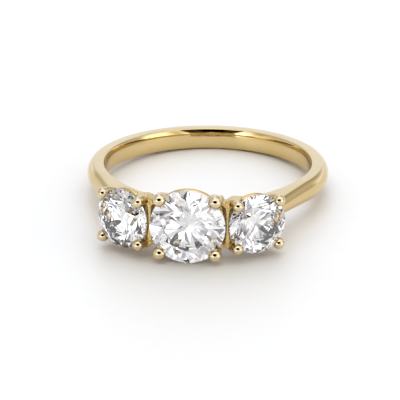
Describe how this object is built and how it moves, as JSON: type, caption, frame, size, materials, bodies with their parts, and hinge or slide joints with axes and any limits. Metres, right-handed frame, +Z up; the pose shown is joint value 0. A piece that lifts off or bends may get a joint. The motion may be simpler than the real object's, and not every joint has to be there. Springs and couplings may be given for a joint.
{
  "type": "three stone ring",
  "caption": "Ring with a plain half-round band and three round brilliant stones, each in a four-claw basket.",
  "frame": {"origin": "centre of the ring's box, on the floor it lies on", "axes": "+Z up from the floor, +Y from the stones to the back of the band, +X to the right as seen from the stones' side; the finger hole's axis leans 5.4 degrees from +Z towards +Y"},
  "size_m": [0.0196, 0.0244, 0.006],
  "materials": {
    "gold": "polished yellow gold",
    "stone": "clear colourless cut stone"
  },
  "bodies": {
    "root": {"ring_mount": "gold", "centre_stone": "stone", "left_stone": "stone", "right_stone": "stone"}
  },
  "joints": []
}
